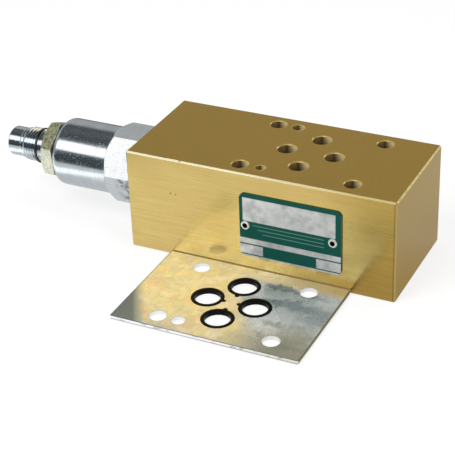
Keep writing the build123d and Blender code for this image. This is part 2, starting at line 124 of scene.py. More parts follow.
class Finish:  # one node tree, with a single way to add a node
    def __init__(self, tree):
        self.tree = tree
        tree.nodes.clear()

    def node(self, kind, settings=None, inputs=None, output=0):
        made = self.tree.nodes.new(kind)
        for name, value in (settings or {}).items():
            if name == "stops":
                stops = made.color_ramp.elements
                while len(stops) < len(value):
                    stops.new(0.5)
                for stop, (position, color) in zip(stops, value):
                    stop.position = position
                    stop.color = (*color, 1)
            else:
                setattr(made, name, value)
        for name, value in (inputs or {}).items():
            socket = made.inputs[name]
            if isinstance(value, Wire):
                self.tree.links.new(value.socket, socket)
            else:
                socket.default_value = (*value, 1) if socket.type == "RGBA" else value
        return Wire(self, made.outputs[output]) if len(made.outputs) else None

    def place(self):
        return self.node("ShaderNodeTexCoord", output="Object")

    def facing(self):
        return self.node("ShaderNodeTexCoord", output="Normal")

    def maths(self, operation, *values):
        return self.node("ShaderNodeMath", {"operation": operation}, dict(enumerate(values)))

    def isRay(self, kind):  # 1 where the light path is of this kind
        return self.node("ShaderNodeLightPath", output=f"Is {kind} Ray")

    def axes(self, vector, names="XYZ"):
        parts = self.node("ShaderNodeSeparateXYZ", inputs={0: vector})
        return [Wire(self, parts.socket.node.outputs[name]) for name in names]

    def stretched(self, vector, scale):
        return self.node("ShaderNodeVectorMath", {"operation": "MULTIPLY"}, {0: vector, 1: scale})

    def noise(self, vector, scale, detail=2.0, roughness=0.5, stretch=None):
        if stretch:
            vector = self.stretched(vector, stretch)
        inputs = {"Vector": vector, "Scale": scale, "Detail": detail, "Roughness": roughness}
        return self.node("ShaderNodeTexNoise", inputs=inputs)

    def millMarks(self, vector, scale, distortion, detailScale, stretch):  # wavy lines across Z
        settings = {"wave_type": "BANDS", "bands_direction": "Z", "wave_profile": "SIN"}
        inputs = {
            "Vector": self.stretched(vector, stretch), "Scale": scale, "Distortion": distortion,
            "Detail": 3.0, "Detail Scale": detailScale, "Detail Roughness": 0.6,
        }
        return self.node("ShaderNodeTexWave", settings, inputs)

    def blend(self, share, first, second):  # sockets 6 and 7 of a Mix node are its colours, 2 its result
        settings = {"data_type": "RGBA", "clamp_factor": True}
        return self.node("ShaderNodeMix", settings, {0: share, 6: first, 7: second}, 2)

    def mixed(self, share, first, second):
        return self.node("ShaderNodeMixShader", inputs={0: share, 1: first, 2: second})

    def spread(self, value, low, high, fromLow=0.3, fromHigh=0.7):  # a noise value brought to a range
        inputs = {"Value": value, "From Min": fromLow, "From Max": fromHigh, "To Min": low, "To Max": high}
        return self.node("ShaderNodeMapRange", {"clamp": True}, inputs)

    def bump(self, height, strength, distance, normal=None):
        inputs = {"Height": height, "Strength": strength, "Distance": distance}
        if normal:
            inputs["Normal"] = normal
        return self.node("ShaderNodeBump", inputs=inputs)

    def surface(self, inputs):
        shader = self.node("ShaderNodeBsdfPrincipled", inputs=inputs)
        self.node("ShaderNodeOutputMaterial", inputs={"Surface": shader})


def patch(sideways, depth, item):  # the item's share within its soft edges, 0 outside them
    tests = {"rightOf": sideways.above, "leftOf": sideways.below}
    tests.update({"behind": depth.above, "before": depth.below})
    share = item.get("share", 1)
    for side, test in tests.items():
        if side in item:
            share = test(*item[side]) * share
    return share


def within(sideways, depth, low, high, skin, softness):  # 1 further in from the four sides than the skin
    across = sideways.between(low.x + skin, high.x - skin, softness)
    return across * depth.between(low.y + skin, high.y - skin, softness)


def disc(across, along, radius, softness):  # 1 within the radius, with a soft edge
    return (across * across + along * along).below(radius ** 2, 2 * radius * softness)


def newMaterial(name):
    material = bpy.data.materials.new(name)
    material.use_nodes = True
    return material, Finish(material.node_tree)


def dress(material, *names):
    for name in names:
        nodes[name].material_slots[0].material = material


def only(kind, items):
    return [item for item in items if isinstance(item, kind)]


def addPiece(name, shape, material, sharpAngle):  # a bmesh made an object, smooth between its sharp edges
    mesh = bpy.data.meshes.new(name)
    shape.to_mesh(mesh)
    shape.free()
    mesh.materials.append(material)
    mesh.shade_smooth()
    mesh.set_sharp_from_angle(angle=radians(sharpAngle))
    piece = bpy.data.objects.new(name, mesh)
    scene.collection.objects.link(piece)
    return piece


# Camera at the photograph's viewing angle
cameraView = {
    "place": (172.201, -408.657, 266.967),  # in mm
    "azimuth": 26.775,
    "elevation": 30.127,
    "roll": -2.32,
    "lens": 115.364,
    "sensor": 36.0,
    "clipStart": 0.01,
}


def makeCamera():
    camera = bpy.data.cameras.new("camera")
    camera.lens = cameraView["lens"]
    camera.sensor_width = cameraView["sensor"]
    camera.clip_start = cameraView["clipStart"]
    holder = bpy.data.objects.new("camera", camera)
    scene.collection.objects.link(holder)
    turn = Matrix.Rotation(radians(cameraView["azimuth"]), 4, "Z")
    tip = Matrix.Rotation(radians(90 - cameraView["elevation"]), 4, "X")
    roll = Matrix.Rotation(radians(cameraView["roll"]), 4, "Z")
    place = Matrix.Translation(Vector(cameraView["place"]) * mm)
    holder.matrix_world = place @ turn @ tip @ roll
    scene.camera = holder


makeCamera()
print("camera placed")

# Plain studio: white to the eye. Reflections see a softbox in front, paler walls and a dark room between
studio = {
    "ambient": 0.35,
    "bands": [  # once round, from the horizon behind by way of the floor, the front and overhead
        (0.0, (0.5, 0.5, 0.5)),
        (0.47, (0.06, 0.07, 0.075)),
        (0.572, (0.06, 0.075, 0.085)),
        (0.582, (1.7, 1.7, 1.7)),
        (0.655, (1.9, 1.9, 1.9)),
        (0.674, (0.16, 0.17, 0.18)),
        (0.71, (0.065, 0.075, 0.085)),
        (0.79, (0.12, 0.13, 0.135)),
        (0.85, (0.075, 0.085, 0.09)),
        (0.888, (0.46, 0.47, 0.48)),
        (1.0, (0.4, 0.4, 0.4)),
    ],
    "rightWall": {"color": (0.42, 0.42, 0.43), "edge": (0.78, 0.25)},
    "leftWall": {"color": (0.45, 0.47, 0.5), "edge": (0.84, 0.1)},
    "warmWall": {"color": (1.3, 1.15, 0.85), "rightOf": (0.3, 0.2), "behind": (0.3, 0.2)},
    "warmHeights": (0.03, 0.5, 0.1),
    "aim": (-0.02, -0.02, 0.01),
    "lamps": [  # places and sizes in metres
        {"name": "key", "place": (-0.25, -0.45, 0.6), "size": 0.5, "power": 3.0},
        {"name": "fill", "place": (0.6, -0.2, 0.45), "size": 0.5, "power": 1.2},
        {"name": "top", "place": (0.0, 0.25, 0.7), "size": 0.6, "power": 1.1},
    ],
}


def makeWorld():
    world = bpy.data.worlds.new("studio")
    world.use_nodes = True
    world.cycles.sampling_method = "NONE"
    scene.world = world
    finish = Finish(world.node_tree)
    rightWall, leftWall, warmWall = studio["rightWall"], studio["leftWall"], studio["warmWall"]
    sideways, depth, height = finish.axes(finish.node("ShaderNodeTexCoord", output="Generated"))
    turn = finish.maths("ARCTAN2", height, 0 - depth) / (2 * pi) + 0.5
    bands = finish.node("ShaderNodeValToRGB", {"stops": studio["bands"]}, {0: turn})
    bands = finish.blend(sideways.above(*rightWall["edge"]), bands, rightWall["color"])
    bands = finish.blend((0 - sideways).above(*leftWall["edge"]), bands, leftWall["color"])
    isWarm = patch(sideways, depth, warmWall) * height.between(*studio["warmHeights"])
    bands = finish.blend(isWarm, bands, warmWall["color"])
    seen = finish.blend(finish.isRay("Glossy"), (studio["ambient"],) * 3, bands)
    isWhite = finish.isRay("Camera").biggest(finish.isRay("Transmission"))
    seen = finish.blend(isWhite, seen, (1, 1, 1))
    background = finish.node("ShaderNodeBackground", inputs={"Color": seen, "Strength": 1.0})
    finish.node("ShaderNodeOutputWorld", inputs={"Surface": background})


def makeLamps():
    for item in studio["lamps"]:
        lamp = bpy.data.lights.new(item["name"], "AREA")
        lamp.shape = "DISK"
        lamp.size = item["size"]
        lamp.energy = item["power"]
        holder = bpy.data.objects.new(item["name"], lamp)
        scene.collection.objects.link(holder)
        place = Vector(item["place"])
        turn = (place - Vector(studio["aim"])).to_track_quat("Z", "Y")
        holder.matrix_world = Matrix.Translation(place) @ turn.to_matrix().to_4x4()
        holder.visible_glossy = False  # reflections see the world's bands instead
        holder.visible_camera = False


# Floor: white to the eye with a faint shadow. Polished metal sees painted light and shade on it, as bright
# and dark patches
floorPaper = {
    "reach": 3.0,
    "gap": 0.02 * mm,  # below the lowest piece
    "glow": 1.07,
    "shadowShare": 0.3,  # how much of the lamps' own shading the camera sees, and polished metal
    "mirrorShare": 0.35,
    "near": (0.98, 0.98, 0.96),
    "patches": [
        {"color": (0.6, 0.54, 0.34), "rightOf": (0, 40 * mm)},
        {"color": (0.52, 0.46, 0.3), "rightOf": (16 * mm, 16 * mm), "behind": (-48 * mm, 30 * mm)},
        {"color": (0.56, 0.54, 0.48), "behind": (5 * mm, 30 * mm)},
    ],
    "left": {"color": (0.7, 0.71, 0.72), "leftOf": (-100 * mm, 6 * mm)},
    # painted shade where the floor lies under the cartridge
    "shadeUnderCartridge": {"leftOf": (-67 * mm, 6 * mm), "behind": (-24 * mm, 6 * mm)},
    "leftBack": {"color": (0.22, 0.23, 0.22), "behind": (45 * mm, 30 * mm)},
    "slant": 0.57,  # how askew the stripe and the dark foreground lie
    "slantFrom": -104 * mm,
    # a painted band of light, brighter than white
    "stripe": {"color": (1.45, 1.45, 1.45), "leftOf": (-93 * mm, 4 * mm)},
    "stripeSpan": (-48 * mm, -25 * mm, 6 * mm),
    "foreground": (0.05, 0.06, 0.065),
    "foregroundEdge": (-108 * mm, 30 * mm),
}


# the painted light and shade that polished metal sees on the floor
def mirroredLightAndShade(finish):
    look = floorPaper
    sideways, depth = finish.axes(finish.place(), "XY")
    slanted = depth + (sideways - look["slantFrom"]) * look["slant"]
    color = look["near"]
    for item in look["patches"]:
        color = finish.blend(patch(sideways, depth, item), color, item["color"])
    isLeft = patch(sideways, depth, look["left"]).biggest(patch(sideways, depth, look["shadeUnderCartridge"]))
    color = finish.blend(isLeft, color, look["left"]["color"])
    isBack = isLeft * patch(sideways, depth, look["leftBack"])
    color = finish.blend(isBack, color, look["leftBack"]["color"])
    inStripe = patch(sideways, depth, look["stripe"]) * slanted.between(*look["stripeSpan"])
    color = finish.blend(inStripe, color, look["stripe"]["color"])
    return finish.blend(slanted.below(*look["foregroundEdge"]), color, look["foreground"])


def makeFloor():
    look = floorPaper
    shape = bmesh.new()
    bmesh.ops.create_grid(shape, x_segments=1, y_segments=1, size=look["reach"])
    bmesh.ops.translate(shape, vec=(0, 0, cadLow.z - look["gap"]), verts=shape.verts)
    mesh = bpy.data.meshes.new("floor")
    shape.to_mesh(mesh)
    shape.free()
    floor = bpy.data.objects.new("floor", mesh)
    scene.collection.objects.link(floor)
    material, finish = newMaterial("floorPaper")
    material.cycles.emission_sampling = "NONE"
    color = mirroredLightAndShade(finish)
    mirroredGlow = finish.node("ShaderNodeEmission", inputs={"Color": color, "Strength": 1.0})
    shaded = finish.node("ShaderNodeBsdfDiffuse", inputs={"Color": color})
    mirrored = finish.mixed(look["mirrorShare"], mirroredGlow, shaded)
    white = finish.node("ShaderNodeBsdfDiffuse", inputs={"Color": (1, 1, 1)})
    glow = finish.node("ShaderNodeEmission", inputs={"Strength": look["glow"]})
    bright = finish.mixed(look["shadowShare"], glow, white)
    seen = finish.mixed(finish.isRay("Glossy"), white, mirrored)
    seen = finish.mixed(finish.isRay("Camera"), seen, bright)
    finish.node("ShaderNodeOutputMaterial", inputs={"Surface": seen})
    mesh.materials.append(material)


makeWorld()
makeLamps()
makeFloor()
print("studio ready")

# Block: gold anodised, milled along its length
goldBlock = {
    "frontFacing": (-0.7, 0.1),  # edges and spans on the surface's direction
    "endFacing": (0.8, 0.1),
    "topFacing": (0.9, 0.05),
    "edgeFacing": (0.3, 0.9, 0.1),
    "boreFacing": (0.5, 0.2),
    "rimFacing": (0.3, 0.2),
    "skin": 1.2 * mm,  # how far in from a side a wall counts as a hole's
    "skinSoftness": 0.1 * mm,
    # milled sides
    "front": (0.59, 0.41, 0.105),
    "pale": (0.78, 0.6, 0.2),
    "deep": (0.56, 0.37, 0.08),
    "end": (0.63, 0.43, 0.13),
    "endShare": 0.8,
    "lines": (1.0, 3.0, 0.6, (70, 70, 1700)),
    "marks": (480.0, 4.5, 0.5, (0.1, 0.1, 1)),  # scale, distortion, size of detail and stretch
    "markShare": 0.3,
    "grainSpread": (0, 1, 0.25, 0.75),
    "clouds": (60.0, 3.0),
    "cloudSpread": (0, 0.4),
    # top
    "top": (0.73, 0.465, 0.095),
    "topDeep": (0.65, 0.41, 0.08),
    "topGrain": (1400.0, 2.0),
    "topSpread": (0, 0.5),
    # edges: painted highlight on the chamfers and on a thin band below the front's top edge, dimmer towards
    # the right end and broken up by wear; their lines measured in from the block's own sides
    "edge": (0.98, 0.9, 0.6),
    "rightEdge": (0.66, 0.52, 0.2),
    "edgeFade": (2 * mm, 50 * mm),  # along x, from the bright part to the darker one
    "edgeBand": (0.5 * mm, 0.5 * mm),
    "bandShare": 0.7,
    "endEdge": (0.5, 0.43, 0.2),
    "wornEdgeHighlight": (0.36, 0.31, 0.16),
    "endLine": (0.6 * mm, 0.2 * mm),
    "wear": (420.0, 2.0),
    "wearEdge": (0.52, 0.12),
    # painted shade and highlight either side of the front right corner
    "cornerShade": (0.3, 0.2, 0.06),
    "darkLine": (1.0 * mm, 0.3 * mm),
    "darkShare": 0.6,
    "cornerHighlight": (0.85, 0.7, 0.36),
    "paleLine": (0.5 * mm, 0.1 * mm),
    "paleFront": (0.5 * mm, 0.2 * mm),
    "paleShare": 0.8,
    # holes in the top: painted highlight on their rims, and painted light and shade down their walls
    "holes": [  # radius, then each x and y, in mm
        (2.75, ((-20.25, -16.25), (-20.25, 16.25), (20.25, -15.5), (20.25, 15.5))),
        (3.2, ((-1.25, -10.4), (-1.25, 10.4), (7.55, 0), (-9.95, 0))),
        (1.6, ((-12.75, -16.25),)),
        (2.05, ((-12.75, 16.25),)),
    ],
    "holeRim": (0.74, 0.55, 0.2),
    "rimMetal": 0.48,
    "rimWidth": 0.34 * mm,
    "rimSoftness": 0.4 * mm,
    "rimShift": 0.14,  # in mm, to the back right
    "boreShade": (0.06, 0.04, 0.018),
    "boreLeft": (0.26, 0.17, 0.06),
    "boreRight": (0.9, 0.74, 0.38),
    "leftWallFacing": (0.5, 0.4),
    "rightWallFacing": (0.05, 0.8),
    "boreLight": (3.0 * mm, 4.2 * mm),  # how far down a hole's wall catches the light
    "boreRoughness": 0.45,
    "boreMetal": 0.1,
    # small marks, and the foot behind the seal plate
    "nick": (0.2, 0.14, 0.06),
    "specks": [(-40.3, 38.0, 0.45), (-44.3, 24.8, 0.3), (-42.3, 24.7, 0.26)],  # x, z and radius in mm
    "speckSoftness": 0.5,  # of the radius
    "foot": (0.5, 0.34, 0.12),
    "footEdge": (1.9 * mm, 0.4 * mm),
    "footSoftness": 0.5 * mm,
    "footMetal": 0.05,
    # gloss
    "frontRoughness": (0.15, 0.27),
    "topRoughness": (0.36, 0.42),
    "coat": 0.9,
    "endCoat": 0.1,
    "coatRoughness": 0.2,
    "coatIor": 1.6,
    "bump": (0.3, 0.03 * mm),
    "topFlatness": 0.9,
}


def holeRims(sideways, depth):  # a ring round each hole of the top, for the painted highlight
    look = goldBlock
    rims = 0
    for radius, places in look["holes"]:
        reach = radius * mm + look["rimWidth"]
        for x, y in places:
            across = sideways - (x + look["rimShift"]) * mm
            along = depth - (y + look["rimShift"]) * mm
            rims = disc(across, along, reach, look["rimSoftness"]) + rims
    return rims


def frontSpecks(sideways, height):
    specks = 0
    for x, z, size in goldBlock["specks"]:
        radius = size * mm
        softness = radius * goldBlock["speckSoftness"]
        specks = disc(sideways - x * mm, height - z * mm, radius, softness) + specks
    return specks


def goldAnodised():
    look = goldBlock
    material, finish = newMaterial("goldAnodised")
    place = finish.place()
    sideways, depth, height = finish.axes(place)
    normalX, normalY, normalZ = finish.axes(finish.facing())
    fromRight = blockHigh.x - sideways
    fromFront = depth - blockLow.y
    fromTop = blockHigh.z - height
    isFront = normalY.below(*look["frontFacing"])
    isEnd = normalX.size().above(*look["endFacing"])
    isTop = normalZ.above(*look["topFacing"])
    isEdge = normalZ.between(*look["edgeFacing"])
    inside = within(sideways, depth, blockLow, blockHigh, look["skin"], look["skinSoftness"])
    isBore = inside * normalZ.size().below(*look["boreFacing"])

    # milled sides, ground top and the painted highlight on the holes' rims
    lines = finish.noise(place, *look["lines"])
    marks = finish.millMarks(place, *look["marks"])
    grain = lines * (1 - look["markShare"]) + marks * look["markShare"]
    clouds = finish.noise(place, *look["clouds"])
    topGrain = finish.noise(place, *look["topGrain"])
    color = finish.blend(finish.spread(grain, *look["grainSpread"]), look["front"], look["pale"])
    color = finish.blend(finish.spread(clouds, *look["cloudSpread"]), color, look["deep"])
    color = finish.blend(isEnd * look["endShare"], color, look["end"])
    topColor = finish.blend(finish.spread(topGrain, *look["topSpread"]), look["top"], look["topDeep"])
    color = finish.blend(isTop, color, topColor)
    rims = holeRims(sideways, depth) * inside * normalZ.above(*look["rimFacing"])
    color = finish.blend(rims, color, look["holeRim"])

    # painted highlight on the edges, painted shade and highlight as the two lines beside the front right
    # corner, and specks
    wear = finish.noise(place, *look["wear"]).above(*look["wearEdge"])
    endEdge = finish.blend(wear, look["endEdge"], look["wornEdgeHighlight"])
    edgeColor = finish.blend(sideways.above(*look["edgeFade"]), look["edge"], look["rightEdge"])
    edgeColor = finish.blend(fromRight.below(*look["endLine"]), edgeColor, endEdge)
    edgeColor = finish.blend(inside, edgeColor, look["holeRim"])
    band = isFront * fromTop.below(*look["edgeBand"]) * look["bandShare"]
    color = finish.blend(band.biggest(isEdge), color, edgeColor)
    darkLine = isFront * fromRight.below(*look["darkLine"]) * (1 - isEdge)
    color = finish.blend(darkLine * look["darkShare"], color, look["cornerShade"])
    paleLine = fromRight.below(*look["paleLine"]) * fromFront.below(*look["paleFront"]) * (1 - isEdge)
    color = finish.blend(paleLine * look["paleShare"], color, look["cornerHighlight"])
    specks = frontSpecks(sideways, height) * isFront
    color = finish.blend(specks, color, look["nick"])

    # painted light and shade on the walls of the holes, and the foot behind the seal plate
    lit = fromTop.below(*look["boreLight"])
    leftWall = normalX.above(*look["leftWallFacing"]) * lit
    rightWall = (0 - normalX).above(*look["rightWallFacing"]) * lit
    boreColor = finish.blend(leftWall, look["boreShade"], look["boreLeft"])
    boreColor = finish.blend(rightWall, boreColor, look["boreRight"])
    color = finish.blend(isBore, color, boreColor)
    isFoot = isFront * height.below(*look["footEdge"])
    isFoot = isFoot * sideways.between(plateLow.x, plateHigh.x, look["footSoftness"])
    color = finish.blend(isFoot, color, look["foot"])

    # gloss and relief
    metallic = 1 - isBore * (1 - look["boreMetal"]) - rims * (1 - look["rimMetal"])
    metallic = metallic - isFoot * (1 - look["footMetal"])
    rough = finish.spread(grain, *look["frontRoughness"]) * (1 - isTop)
    rough = rough + finish.spread(topGrain, *look["topRoughness"]) * isTop
    coat = look["coat"] - isEnd * (look["coat"] - look["endCoat"])
    coat = coat * (1 - isTop) * (1 - isBore) * (1 - inside * isEdge) * (1 - specks) * (1 - isFoot)
    relief = grain * (1 - isTop * look["topFlatness"]) * (1 - isBore)
    finish.surface({
        "Base Color": color,
        "Metallic": metallic,
        "Roughness": rough * (1 - isBore) + isBore * look["boreRoughness"],
        "Coat Weight": coat,
        "Coat Roughness": look["coatRoughness"],
        "Coat IOR": look["coatIor"],
        "Normal": finish.bump(relief, *look["bump"]),
    })
    return material


dress(goldAnodised(), "valve_block")
print("block finished")

# Seal plate: zinc plated and cloudy, yellow and pink towards the left, stained grey and brown to the right,
# with painted reflection and shade laid over it
platePlating = {
    "slant": 0.4,  # how the boundary between yellow and grey leans
    "leftEdge": (24 * mm, 26 * mm),  # where the yellow ends and the grey begins, from the plate's left
    "rightEdge": (22 * mm, 22 * mm),
    "color": (0.85, 0.86, 0.83),
    "rightColor": (0.95, 0.96, 0.9),
    "dull": (0.66, 0.7, 0.66),
    "yellow": (0.97, 0.95, 0.62),
    "pink": (0.98, 0.7, 0.6),
    "white": (0.97, 0.97, 0.95),
    "smear": (0.2, 0.25, 0.265),
    "brown": (0.36, 0.34, 0.24),
    "clouds": (110.0, 4.0, 0.6),
    "cloudSpread": (0, 0.8, 0.4, 0.7),
    "tints": [  # colour, side, spread and noise
        ("yellow", "left", (0, 0.7, 0.46, 0.58), (130.0, 4.0, 0.6, (1, 1.4, 1))),
        ("pink", "left", (0, 0.5, 0.52, 0.62), (170.0, 4.0, 0.6, (1.2, 0.8, 1))),
        ("white", "both", (0, 0.8, 0.5, 0.62), (150.0, 4.0, 0.6, (0.9, 1.5, 1))),
        ("smear", "right", (0, 0.3, 0.49, 0.6), (110.0, 4.0, 0.6, (0.7, 1.5, 1))),
    ],
    "stains": [  # colour, x, y and half sizes in mm, share
        ("brown", 14.0, -53.5, 9.0, 7.0, 0.75),
        ("white", 5.0, -46.5, 11.0, 3.4, 0.8),
        ("white", 5.6, -55.0, 4.5, 1.8, 0.7),
        ("white", -5.0, -30.0, 3.0, 2.0, 0.8),
        ("smear", 1.5, -30.2, 5.5, 1.6, 0.9),
        ("smear", 11.5, -31.6, 6.5, 1.3, 0.95),
        ("smear", 10.5, -39.0, 12.5, 2.5, 0.95),
        ("smear", 20.0, -44.0, 3.5, 4.0, 0.7),
        ("smear", 15.0, -62.0, 6.0, 1.5, 0.7),
    ],
    "stainSoftness": 0.5,
    "streaks": (190.0, 4.0, 0.6, (0.7, 1.8, 1)),  # they break up a stain's outline
    "streakReach": 2.0,
    "shreds": (240.0, 3.0, 0.6, (1.6, 0.9, 1)),
    "shredReach": 3.6,
    "spangle": (420.0, 4.0, 0.7, (1.5, 0.8, 1)),
    "spangleSpread": (0, 0.5, 0.45, 0.65),
    "shades": [  # broad and soft, laid over the stains; the second, gold beside the block, is a painted reflection of the block
        {
            "color": (0.6, 0.64, 0.64), "share": 0.6,
            "rightOf": (6 * mm, 24 * mm), "behind": (-52 * mm, 16 * mm),
        },
        {
            "color": (0.5, 0.43, 0.26), "share": 0.85,
            "rightOf": (4 * mm, 28 * mm), "behind": (-27.8 * mm, 3 * mm),
        },
        {
            "color": (0.3, 0.32, 0.26), "share": 0.85,
            "rightOf": (2 * mm, 20 * mm), "before": (-57 * mm, 8 * mm),
        },
    ],
    "corner": (0.42, 0.46, 0.38),  # painted shade at the front left, where the plate stops mirroring the block
    "cornerSlant": 0.565,
    "cornerEdge": (-71.7 * mm, 5 * mm),  # in x plus the slant's share of y
    # walls and rims, their lines measured in from the plate's own sides
    "flatFacing": (0.94, 0.05),
    "rimFacing": (0.2, 0.94, 0.1),
    "skin": 1.0 * mm,
    "skinSoftness": 0.2 * mm,
    "wall": (0.66, 0.68, 0.68),
    "rightWall": (0.3, 0.32, 0.28),
    "rightLine": (0.5 * mm, 0.2 * mm),
    "holeWall": (0.95, 0.95, 0.93),
    # a painted shade line along the plate's left edge
    "sideShadeLine": (0.3, 0.26, 0.18),
    "leftLine": (0.45 * mm, 0.3 * mm),
    "sideShare": 0.8,
    # painted highlight on the upper part of the front edge, painted shade below it, broken up by noise
    "front": (1.0, 1.0, 1.0),
    "frontLine": (0.5 * mm, 0.2 * mm),
    "under": (0.34, 0.35, 0.35),
    "underShare": 0.36,  # of the plate's thickness
    "underSoftness": 0.3 * mm,
    "breaks": (600.0, 2.0, 0.5, (0.6, 1, 1)),
    "breakEdge": (0.6, 0.06),
    "breakShare": 0.6,
    # painted shade: a dark line on the rounded rims
    "rim": (0.12, 0.13, 0.13),
    "backLine": (0.5 * mm, 0.2 * mm),
    "holeRimShare": 0.3,  # a hole's rim is fainter than the plate's own
    # gloss
    "metal": 0.8,
    "rightMetal": 0.66,
    "edgeMetal": 0.5,
    "holeMetal": 0.2,
    "grain": (900.0, 3.0, 0.7),
    "roughness": (0.16, 0.26),
    "rightRoughness": 0.08,  # added towards the right
    "bump": (0.015, 0.02 * mm),
    "waves": (45.0, 1.0),
    "waveBump": (0.2, 0.3 * mm),
}


def plateTopColor(finish, place, slanted, rightward, clouds):
    look = platePlating
    sideways, depth = finish.axes(place, "XY")
    toLeft = slanted.below(*look["leftEdge"])
    sides = {"left": toLeft, "right": 1 - toLeft, "both": 1}
    color = finish.blend(rightward, look["color"], look["rightColor"])
    color = finish.blend(finish.spread(clouds, *look["cloudSpread"]), color, look["dull"])
    for name, side, spread, noise in look["tints"]:
        share = finish.spread(finish.noise(place, *noise), *spread) * sides[side]
        color = finish.blend(share, color, look[name])
    streaks = (finish.noise(place, *look["streaks"]) - 0.5) * look["streakReach"]
    shreds = (finish.noise(place, *look["shreds"]) - 0.5) * look["shredReach"]
    for name, x, y, halfX, halfY, share in look["stains"]:
        across = (sideways - x * mm) / (halfX * mm) + streaks
        along = (depth - y * mm) / (halfY * mm) + shreds
        color = finish.blend(disc(across, along, 1.0, look["stainSoftness"]) * share, color, look[name])
    spangle = finish.noise(place, *look["spangle"])
    color = finish.blend(finish.spread(spangle, *look["spangleSpread"]), color, look["dull"])
    for shade in look["shades"]:
        color = finish.blend(patch(sideways, depth, shade), color, shade["color"])
    return color


def plateZinc():
    look = platePlating
    material, finish = newMaterial("plateZinc")
    place = finish.place()
    sideways, depth, height = finish.axes(place)
    [normalZ] = finish.axes(finish.facing(), "Z")
    fromLeft = sideways - plateLow.x
    fromRight = plateHigh.x - sideways
    fromFront = depth - plateLow.y
    fromBack = plateHigh.y - depth
    slanted = fromLeft + depth * look["slant"]
    rightward = slanted.above(*look["rightEdge"])
    clouds = finish.noise(place, *look["clouds"])
    grain = finish.noise(place, *look["grain"])
    color = plateTopColor(finish, place, slanted, rightward, clouds)
    inCorner = (sideways + depth * look["cornerSlant"]).below(*look["cornerEdge"])
    color = finish.blend(inCorner, color, look["corner"])
    isSide = fromLeft.below(*look["leftLine"])
    color = finish.blend(isSide * look["sideShare"], color, look["sideShadeLine"])

    # walls of the plate and of its holes, painted highlight and shade on its front edge, and painted shade
    # as the dark line of their rims
    isFlat = normalZ.above(*look["flatFacing"])
    isFront = fromFront.below(*look["frontLine"])
    inside = within(sideways, depth, plateLow, plateHigh, look["skin"], look["skinSoftness"])
    wall = finish.blend(fromRight.below(*look["rightLine"]), look["wall"], look["rightWall"])
    wall = finish.blend(inside, wall, look["holeWall"])
    color = finish.blend(isFlat, wall, color)
    isUpper = height.above(plateHigh.z * look["underShare"], look["underSoftness"])
    breaks = finish.noise(place, *look["breaks"]).above(*look["breakEdge"])
    frontColor = finish.blend(isUpper, look["under"], look["front"])
    frontColor = finish.blend(breaks * look["breakShare"], frontColor, look["under"])
    color = finish.blend(isFront * (1 - isFlat), color, frontColor)
    isRim = normalZ.size().between(*look["rimFacing"]) * fromBack.above(*look["backLine"])
    isRim = isRim * (1 - inside * (1 - look["holeRimShare"]))
    color = finish.blend(isRim, color, look["rim"])

    # gloss and relief
    topMetal = rightward * (look["rightMetal"] - look["metal"]) + look["metal"]
    wallMetal = (1 - isFront * (1 - look["edgeMetal"])) * (1 - inside * (1 - look["holeMetal"]))
    rough = finish.spread(grain * 0.5 + clouds * 0.5, *look["roughness"])
    waves = finish.bump(finish.noise(place, *look["waves"]), *look["waveBump"])
    finish.surface({
        "Base Color": color,
        "Metallic": isFlat * topMetal.biggest(inCorner) + (1 - isFlat) * wallMetal,
        "Roughness": rough + rightward * look["rightRoughness"],
        "Normal": finish.bump(grain, *look["bump"], waves),
    })
    return material


dress(plateZinc(), "seal_plate")
print("seal plate finished")

# Cartridge: satin zinc hexagon, bright turned housing and screw
zincLooks = {  # the lines run round the axis, so they are fine along it
    "hexagon": {
        "color": (0.83, 0.87, 0.88), "dark": (0.74, 0.78, 0.79), "roughness": (0.2, 0.28),
        "fleckRoughness": 0.1,
        "lines": (1.0, 3.0, 0.6, (900, 120, 120)), "lineBump": (0.1, 0.02 * mm),
        "spots": (700.0, 3.0, 0.6), "spotBump": (0.15, 0.05 * mm), "streakBump": (0.03, 0.04 * mm),
    },
    "housing": {
        "color": (0.73, 0.77, 0.79), "dark": (0.6, 0.66, 0.68), "roughness": (0.13, 0.21),
        "fleckRoughness": 0.15,
        "lines": (1.0, 3.0, 0.6, (1500, 40, 40)), "lineBump": (0.3, 0.02 * mm),
        "spots": (1000.0, 3.0, 0.6), "spotBump": (0.05, 0.05 * mm), "streakBump": (0.25, 0.04 * mm),
    },
    "screw": {
        "color": (0.72, 0.77, 0.8), "dark": (0.6, 0.67, 0.71), "roughness": (0.08, 0.16),
        "fleckRoughness": 0.15,
        "lines": (1.0, 3.0, 0.6, (2500, 40, 40)), "lineBump": (0.1, 0.02 * mm),
        "spots": (1000.0, 3.0, 0.6), "spotBump": (0.12, 0.05 * mm), "streakBump": (0.1, 0.04 * mm),
    },
}
zincGrain = {  # what the three finishes share
    "clouds": (180.0, 3.0),
    "toneSpread": (0, 1, 0.35, 0.65),
    "flecks": (800.0, 2.0, 0.6, (1.6, 1, 1)),
    "fleckEdge": (0.62, 0.08),
    "streaks": (1.0, 3.0, 0.6, (50, 700, 700)),
}
hexagonMarks = {
    "facetFacing": (0.3, 0.8, 0.1),
    "facet": (0.6, 0.61, 0.61),  # the upper slanting facet, painted darker as shade
    "facetShare": 0.9,
    "scuff": (0.2, 0.21, 0.22),  # on the lower slanting facet
    "scuffShare": 0.75,
    "scuffs": (520.0, 3.0, 0.6, (1, 1, 0.6)),
    "scuffEdge": (0.5, 0.08),
    "scuffStart": -10 * mm,  # from the block's left end
    "scuffSoftness": 3 * mm,
}


def markedHexagon(finish, place, color):
    look = hexagonMarks
    [sideways] = finish.axes(place, "X")
    [normalZ] = finish.axes(finish.facing(), "Z")
    isUpper = normalZ.between(*look["facetFacing"])
    isLower = (0 - normalZ).between(*look["facetFacing"])
    byBlock = sideways.above(blockLow.x + look["scuffStart"], look["scuffSoftness"])
    scuffs = finish.noise(place, *look["scuffs"]).above(*look["scuffEdge"])
    color = finish.blend(isUpper * look["facetShare"], color, look["facet"])
    return finish.blend(isLower * byBlock * scuffs * look["scuffShare"], color, look["scuff"])


